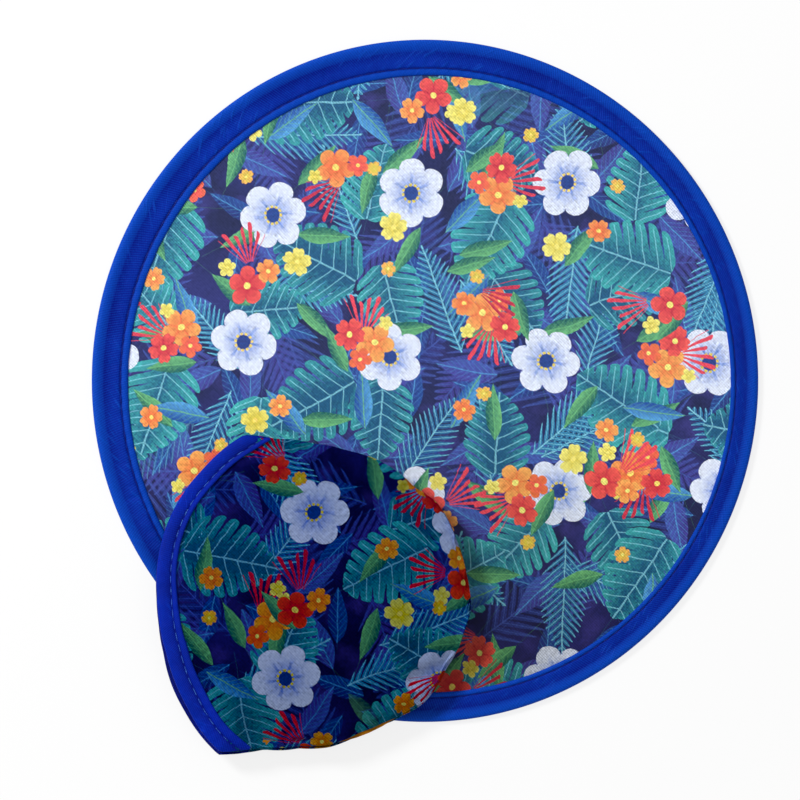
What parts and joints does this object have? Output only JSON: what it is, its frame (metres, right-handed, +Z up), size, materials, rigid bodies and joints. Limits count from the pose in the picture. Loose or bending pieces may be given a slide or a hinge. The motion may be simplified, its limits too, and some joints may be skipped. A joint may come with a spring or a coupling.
{
  "type": "collapsible twist fan",
  "caption": "Round cloth hand fan on a sprung steel hoop that coils into small loops, with its round cloth pouch lying on it, mouth open at the side.",
  "frame": {"origin": "on the floor, under the middle of the box round the open fan and its pouch", "axes": "+Z up out of the fan's face, +Y towards the top of the picture, +X to its right"},
  "size_m": [0.25, 0.2637, 0.0148],
  "materials": {
    "binding": "royal blue twill tape",
    "steel": "plain spring steel strip",
    "print": "printed woven polyester, leaves and flowers on dark blue",
    "pouch_print": "printed woven polyester, leaves and flowers on dark blue"
  },
  "bodies": {
    "fan_base": {"binding_01": "binding", "hoop_link_01": "steel", "hoop_splice": "steel", "fan_cloth": "print"},
    "link_02": {"binding_02": "binding", "hoop_link_02": "steel"},
    "link_03": {"binding_03": "binding", "hoop_link_03": "steel"},
    "link_04": {"binding_04": "binding", "hoop_link_04": "steel"},
    "link_05": {"binding_05": "binding", "hoop_link_05": "steel"},
    "link_06": {"binding_06": "binding", "hoop_link_06": "steel"},
    "link_07": {"binding_07": "binding", "hoop_link_07": "steel"},
    "link_08": {"binding_08": "binding", "hoop_link_08": "steel"},
    "link_09": {"binding_09": "binding", "hoop_link_09": "steel"},
    "link_10": {"binding_10": "binding", "hoop_link_10": "steel"},
    "link_11": {"binding_11": "binding", "hoop_link_11": "steel"},
    "link_12": {"binding_12": "binding", "hoop_link_12": "steel"},
    "link_13": {"binding_13": "binding", "hoop_link_13": "steel"},
    "link_14": {"binding_14": "binding", "hoop_link_14": "steel"},
    "link_15": {"binding_15": "binding", "hoop_link_15": "steel"},
    "link_16": {"binding_16": "binding", "hoop_link_16": "steel"},
    "link_17": {"binding_17": "binding", "hoop_link_17": "steel"},
    "link_18": {"binding_18": "binding", "hoop_link_18": "steel"},
    "pouch": {"pouch_front_panel": "pouch_print", "pouch_back_panel": "pouch_print", "pouch_back_binding": "binding", "pouch_seam": "pouch_print"},
    "pouch_lip": {"pouch_lip_panel": "pouch_print", "pouch_front_binding": "binding"}
  },
  "joints": [
    {"name": "fold_coil", "type": "hinge", "parent": "fan_base", "child": "link_02", "pos_m": [0.0383, 0.12476, 0.0013], "axis": [-0.0199, 0.0065, 0.9998], "range_deg": [0, 40], "stiffness_Nm_per_rad": 0.02, "deforming": ["fan_cloth", "binding_02", "binding_03", "binding_04", "binding_05", "binding_06", "binding_07", "binding_08", "binding_09", "binding_10", "binding_11", "binding_12", "binding_13", "binding_14", "binding_15", "binding_16", "binding_17", "binding_18"]},
    {"name": "fold_03", "type": "hinge", "parent": "link_02", "child": "link_03", "pos_m": [-0.00433, 0.13075, 0.0013], "axis": [-0.0209, -0.0007, 0.9998], "range_deg": [0, 40], "stiffness_Nm_per_rad": 0.02},
    {"name": "fold_04", "type": "hinge", "parent": "link_03", "child": "link_04", "pos_m": [-0.04643, 0.1218, 0.0013], "axis": [-0.0194, -0.0078, 0.9998], "range_deg": [0, 40], "stiffness_Nm_per_rad": 0.02},
    {"name": "fold_05", "type": "hinge", "parent": "link_04", "child": "link_05", "pos_m": [-0.08294, 0.09899, 0.0013], "axis": [-0.0156, -0.014, 0.9998], "range_deg": [0, 40], "stiffness_Nm_per_rad": 0.02},
    {"name": "fold_06", "type": "hinge", "parent": "link_05", "child": "link_06", "pos_m": [-0.10944, 0.06507, 0.0013], "axis": [-0.0098, -0.0185, 0.9998], "range_deg": [0, 40], "stiffness_Nm_per_rad": 0.02},
    {"name": "fold_07", "type": "hinge", "parent": "link_06", "child": "link_07", "pos_m": [-0.12274, 0.02413, 0.0013], "axis": [-0.0029, -0.0207, 0.9998], "range_deg": [0, 40], "stiffness_Nm_per_rad": 0.02},
    {"name": "fold_08", "type": "hinge", "parent": "link_07", "child": "link_08", "pos_m": [-0.12124, -0.01889, 0.0013], "axis": [0.0044, -0.0205, 0.9998], "range_deg": [0, 40], "stiffness_Nm_per_rad": 0.02},
    {"name": "fold_09", "type": "hinge", "parent": "link_08", "child": "link_09", "pos_m": [-0.10512, -0.05881, 0.0013], "axis": [0.0111, -0.0178, 0.9998], "range_deg": [0, 40], "stiffness_Nm_per_rad": 0.02},
    {"name": "fold_10", "type": "hinge", "parent": "link_09", "child": "link_10", "pos_m": [-0.07631, -0.0908, 0.0013], "axis": [0.0165, -0.0129, 0.9998], "range_deg": [0, 40], "stiffness_Nm_per_rad": 0.02},
    {"name": "fold_11", "type": "hinge", "parent": "link_10", "child": "link_11", "pos_m": [-0.0383, -0.11101, 0.0013], "axis": [0.0199, -0.0065, 0.9998], "range_deg": [0, 40], "stiffness_Nm_per_rad": 0.02},
    {"name": "fold_12", "type": "hinge", "parent": "link_11", "child": "link_12", "pos_m": [0.00433, -0.117, 0.0013], "axis": [0.0209, 0.0007, 0.9998], "range_deg": [0, 40], "stiffness_Nm_per_rad": 0.02},
    {"name": "fold_13", "type": "hinge", "parent": "link_12", "child": "link_13", "pos_m": [0.04643, -0.10805, 0.0013], "axis": [0.0194, 0.0078, 0.9998], "range_deg": [0, 40], "stiffness_Nm_per_rad": 0.02},
    {"name": "fold_14", "type": "hinge", "parent": "link_13", "child": "link_14", "pos_m": [0.08294, -0.08524, 0.0013], "axis": [0.0156, 0.014, 0.9998], "range_deg": [0, 40], "stiffness_Nm_per_rad": 0.02},
    {"name": "fold_15", "type": "hinge", "parent": "link_14", "child": "link_15", "pos_m": [0.10944, -0.05131, 0.0013], "axis": [0.0098, 0.0185, 0.9998], "range_deg": [0, 40], "stiffness_Nm_per_rad": 0.02},
    {"name": "fold_16", "type": "hinge", "parent": "link_15", "child": "link_16", "pos_m": [0.12274, -0.01037, 0.0013], "axis": [0.0029, 0.0207, 0.9998], "range_deg": [0, 40], "stiffness_Nm_per_rad": 0.02},
    {"name": "fold_17", "type": "hinge", "parent": "link_16", "child": "link_17", "pos_m": [0.12124, 0.03265, 0.0013], "axis": [-0.0044, 0.0205, 0.9998], "range_deg": [0, 40], "stiffness_Nm_per_rad": 0.02},
    {"name": "fold_18", "type": "hinge", "parent": "link_17", "child": "link_18", "pos_m": [0.10512, 0.07256, 0.0013], "axis": [-0.0111, 0.0178, 0.9998], "range_deg": [0, 40], "stiffness_Nm_per_rad": 0.02},
    {"name": "pouch_lift", "type": "slide", "parent": "fan_base", "child": "pouch", "axis": [0, 0, 1], "range_m": [0, 0.1]},
    {"name": "pouch_mouth", "type": "hinge", "parent": "pouch", "child": "pouch_lip", "pos_m": [-0.07197, -0.07179, 0.01441], "axis": [0.0663, 0.9978, 0], "range_deg": [0, 50]}
  ],
  "couplings": [
    {"joint": "fold_03", "follows": "fold_coil", "ratio": 1},
    {"joint": "fold_04", "follows": "fold_coil", "ratio": 1},
    {"joint": "fold_05", "follows": "fold_coil", "ratio": 1},
    {"joint": "fold_06", "follows": "fold_coil", "ratio": 1},
    {"joint": "fold_07", "follows": "fold_coil", "ratio": 1},
    {"joint": "fold_08", "follows": "fold_coil", "ratio": 1},
    {"joint": "fold_09", "follows": "fold_coil", "ratio": 1},
    {"joint": "fold_10", "follows": "fold_coil", "ratio": 1},
    {"joint": "fold_11", "follows": "fold_coil", "ratio": 1},
    {"joint": "fold_12", "follows": "fold_coil", "ratio": 1},
    {"joint": "fold_13", "follows": "fold_coil", "ratio": 1},
    {"joint": "fold_14", "follows": "fold_coil", "ratio": 1},
    {"joint": "fold_15", "follows": "fold_coil", "ratio": 1},
    {"joint": "fold_16", "follows": "fold_coil", "ratio": 1},
    {"joint": "fold_17", "follows": "fold_coil", "ratio": 1},
    {"joint": "fold_18", "follows": "fold_coil", "ratio": 1}
  ]
}
